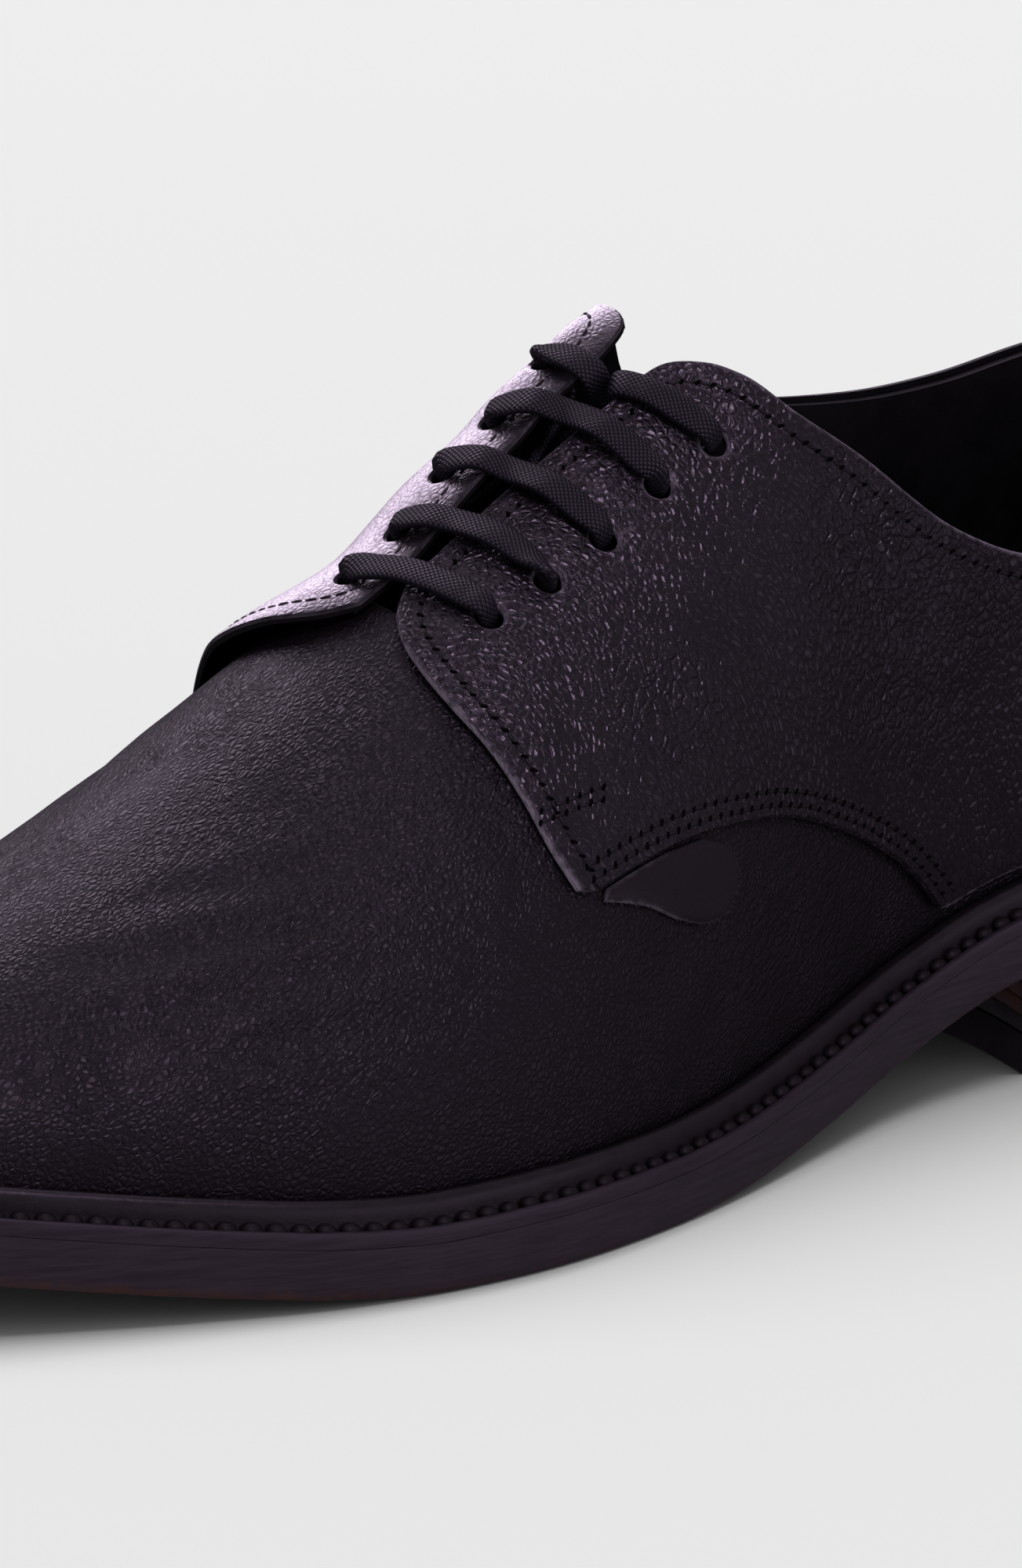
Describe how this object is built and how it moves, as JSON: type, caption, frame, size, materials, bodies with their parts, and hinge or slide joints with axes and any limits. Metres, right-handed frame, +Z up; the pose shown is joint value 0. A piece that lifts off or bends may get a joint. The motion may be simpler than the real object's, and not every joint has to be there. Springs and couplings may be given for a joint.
{
  "type": "lace-up derby shoe",
  "caption": "Left derby shoe with a hollow grained leather upper, open-laced quarters, storm welt, one-piece sole and stacked heel, standing empty on its sole.",
  "frame": {"origin": "on the floor under the middle of the sole, between heel and forefoot", "axes": "+X to the toe, +Y to the outer side of the left foot, +Z up"},
  "size_m": [0.283, 0.1071, 0.1115],
  "materials": {
    "upper_leather": "dark plum-black grained leather, soft sheen",
    "smooth_leather": "smooth satin leather",
    "insole_leather": "matte black lining leather",
    "welt_leather": "dark waxed welt",
    "sole_leather": "stained and burnished sole edge",
    "lift_leather": "red-brown leather lifts",
    "heel_rubber": "dark matte rubber",
    "lace_cord": "waxed woven cotton"
  },
  "bodies": {
    "root": {"upper": "upper_leather", "quarter_lateral": "upper_leather", "quarter_medial": "upper_leather", "tongue": "upper_leather", "stay_lateral": "smooth_leather", "stay_medial": "smooth_leather", "insole": "insole_leather", "welt": "welt_leather", "outsole": "sole_leather", "heel_lifts": "lift_leather", "heel_top_piece": "heel_rubber", "lace": "lace_cord"}
  },
  "joints": []
}
